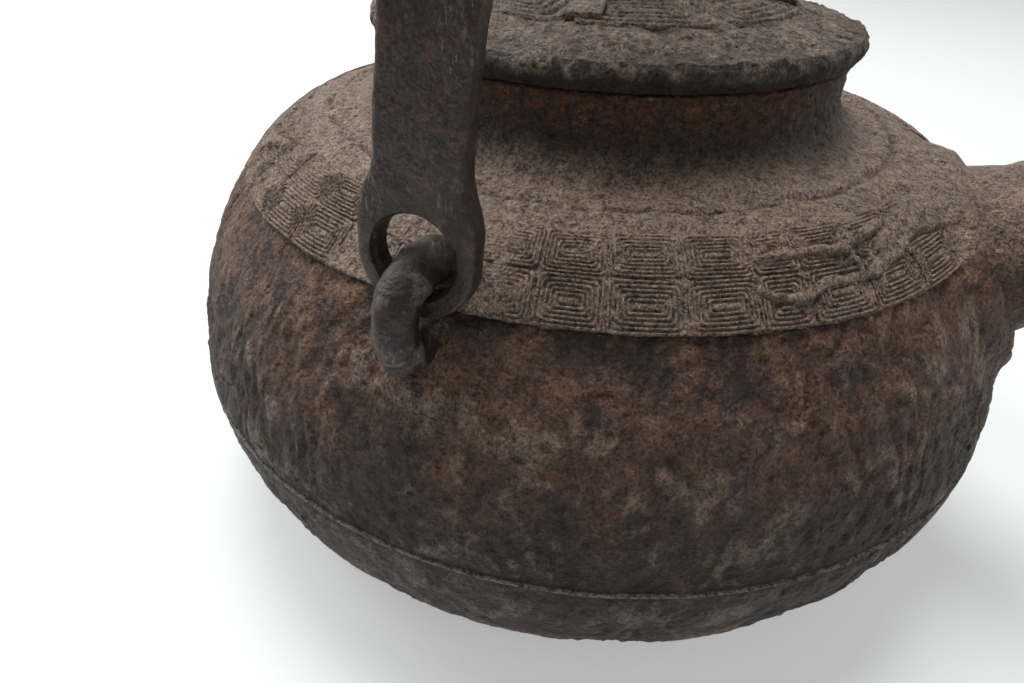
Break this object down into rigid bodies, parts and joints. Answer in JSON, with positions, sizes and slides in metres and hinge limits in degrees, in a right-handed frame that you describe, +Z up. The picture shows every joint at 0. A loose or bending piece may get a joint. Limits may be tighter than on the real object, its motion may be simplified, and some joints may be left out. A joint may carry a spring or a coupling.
{
  "type": "cast-iron tetsubin kettle",
  "caption": "Low round cast-iron water kettle with a cast-on spout, a lift-off lid with a knob, and a flat strap bail that swings on bent-rod lugs.",
  "frame": {"origin": "centre of the flat base, on the surface that the kettle stands on", "axes": "+Z up, +X along the spout, +Y towards the left lug"},
  "size_m": [0.2164, 0.19, 0.1899],
  "materials": {
    "body_iron": "rough sand-cast iron, brown rust patina",
    "lid_iron": "rough sand-cast iron, grey-brown patina",
    "lug_iron": "dark worn iron rod",
    "bail_iron": "forged iron, dark slate brown with worn edges",
    "knob_iron": "dark handled iron"
  },
  "bodies": {
    "kettle": {"kettle_body": "body_iron", "spout": "body_iron", "lug_left": "lug_iron", "lug_right": "lug_iron"},
    "bail": {"bail": "bail_iron"},
    "lid": {"lid": "lid_iron", "knob_seat": "knob_iron", "knob_rivet_washer": "knob_iron"},
    "knob": {"lid_knob": "knob_iron"}
  },
  "joints": [
    {"name": "bail_swing", "type": "hinge", "parent": "kettle", "child": "bail", "pos_m": [0, 0, 0.0906], "axis": [0, 1, 0], "range_deg": [-90, 70]},
    {"name": "lid_lift", "type": "slide", "parent": "kettle", "child": "lid", "axis": [0, 0, 1], "range_m": [0, 0.045]},
    {"name": "knob_spin", "type": "hinge", "parent": "lid", "child": "knob", "pos_m": [0, 0, 0.12], "axis": [0, 0, 1], "continuous": true}
  ]
}
